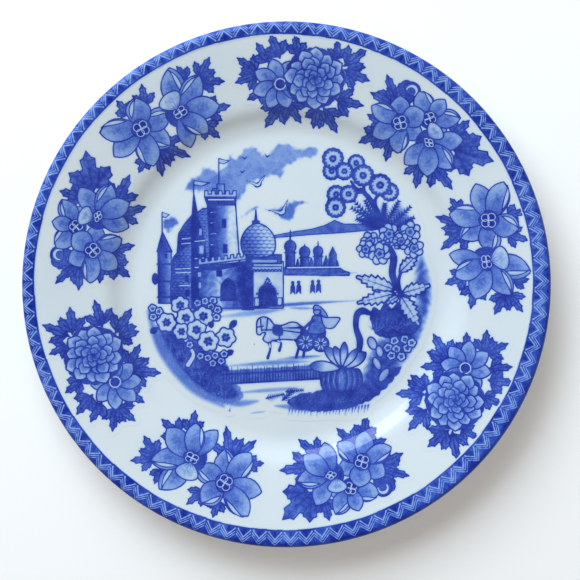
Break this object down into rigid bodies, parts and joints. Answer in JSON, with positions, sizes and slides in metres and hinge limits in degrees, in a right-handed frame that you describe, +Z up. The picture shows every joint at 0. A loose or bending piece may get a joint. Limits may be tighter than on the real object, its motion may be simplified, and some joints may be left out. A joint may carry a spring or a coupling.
{
  "type": "souvenir plate",
  "caption": "Round glazed earthenware plate with a blue printed landscape, flower sprays on the rim and a patterned lip band.",
  "frame": {"origin": "centre of the plate on the plane that its foot ring stands on", "axes": "+Z up through the plate's centre, out of its face; +Y towards the top of the picture; +X to the picture's right"},
  "size_m": [0.2102, 0.2102, 0.0186],
  "materials": {
    "clay": "matt fired earthenware, bare on the foot ring",
    "glaze": "glossy clear glaze over white clay, faintly blue",
    "blue_print": "cobalt blue transfer print under gloss"
  },
  "bodies": {
    "root": {"clay_body": "clay", "face_glaze": "glaze", "foot_glaze": "glaze", "view_print": "blue_print", "lip_band_print": "blue_print", "anemone_spray_1": "blue_print", "anemone_spray_2": "blue_print", "anemone_spray_3": "blue_print", "bud_spray_1": "blue_print", "bud_spray_2": "blue_print", "bud_spray_3": "blue_print", "dahlia_spray_1": "blue_print", "dahlia_spray_2": "blue_print", "dahlia_spray_3": "blue_print", "back_mark": "blue_print"}
  },
  "joints": []
}
